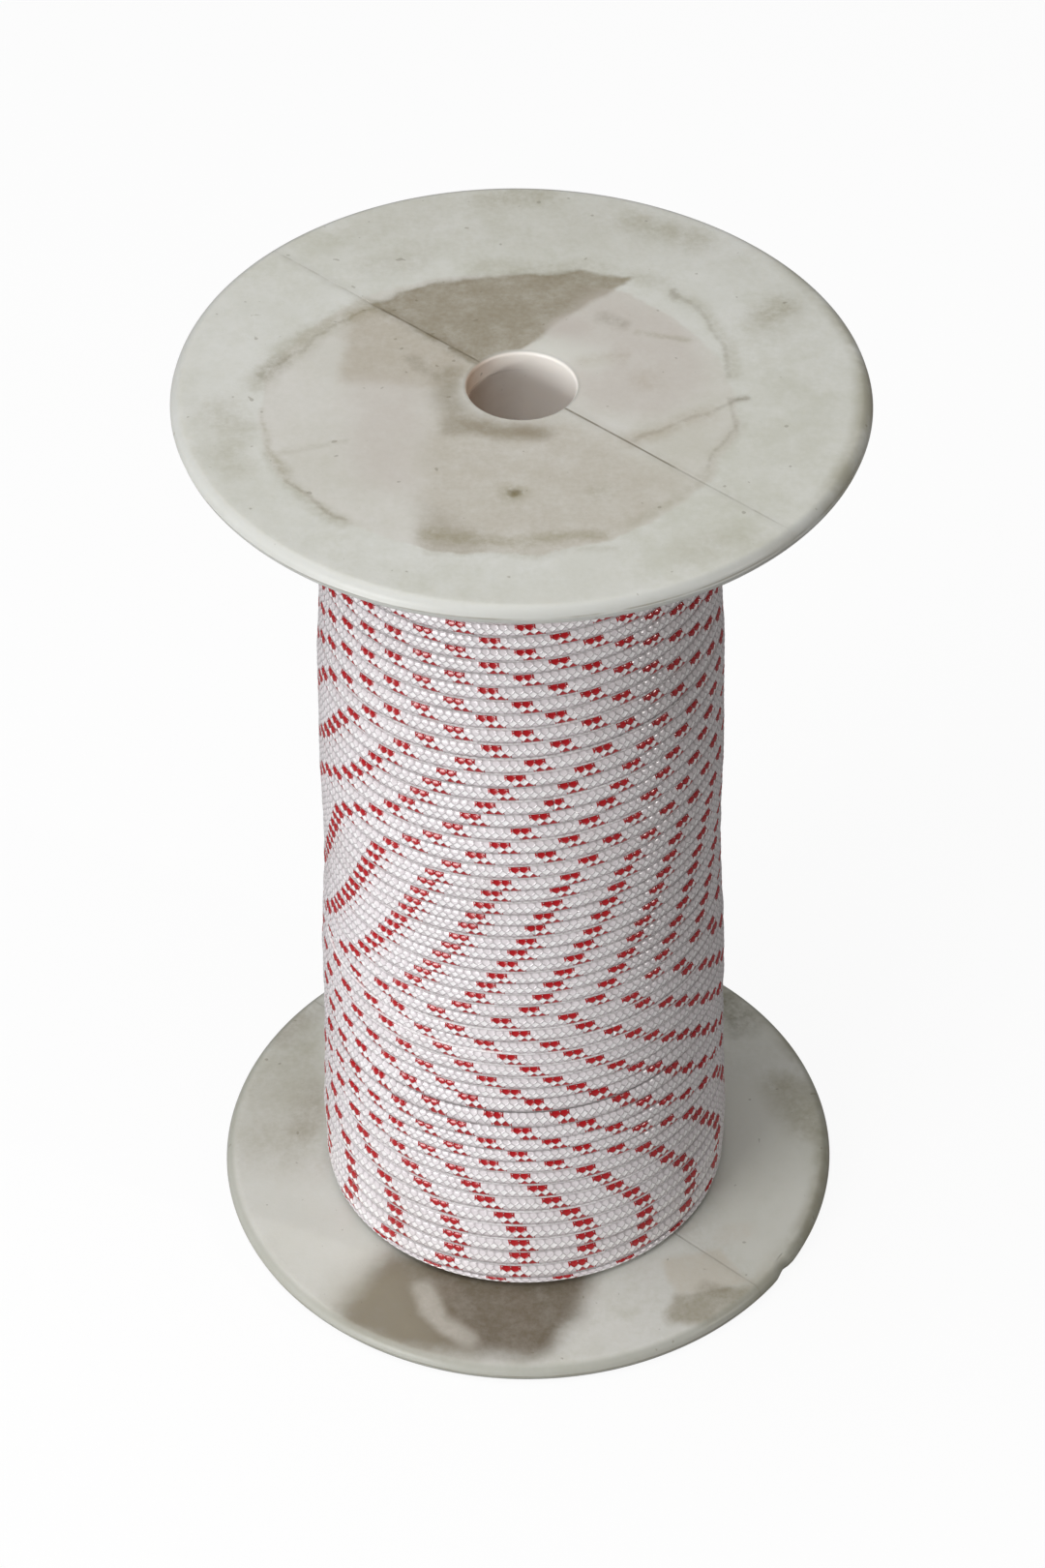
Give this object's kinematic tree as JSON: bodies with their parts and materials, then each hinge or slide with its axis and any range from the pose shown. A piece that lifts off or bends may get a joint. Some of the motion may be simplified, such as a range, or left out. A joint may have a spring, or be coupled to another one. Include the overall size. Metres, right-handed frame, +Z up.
{
  "type": "cord reel",
  "caption": "Flanged moulded reel with a through bore for a spindle, wound with thin braided cord that has a coloured tracer.",
  "frame": {"origin": "centre of the lower flange's outer face, which the reel stands on", "axes": "+Z up along the bore axis, from the lower flange to the upper flange; the front of the winding faces -Y"},
  "size_m": [0.125, 0.125, 0.199],
  "materials": {
    "reel_plastic": "natural off-white polyethylene, semi-matte, with dirt stains and a ring left by a removed label",
    "braided_cord": "glossy white braid with a red tracer"
  },
  "bodies": {
    "root": {"upper_flange": "reel_plastic", "lower_flange": "reel_plastic", "barrel": "reel_plastic", "cord_inner_layers": "braided_cord", "cord_outer_layer": "braided_cord"}
  },
  "joints": []
}
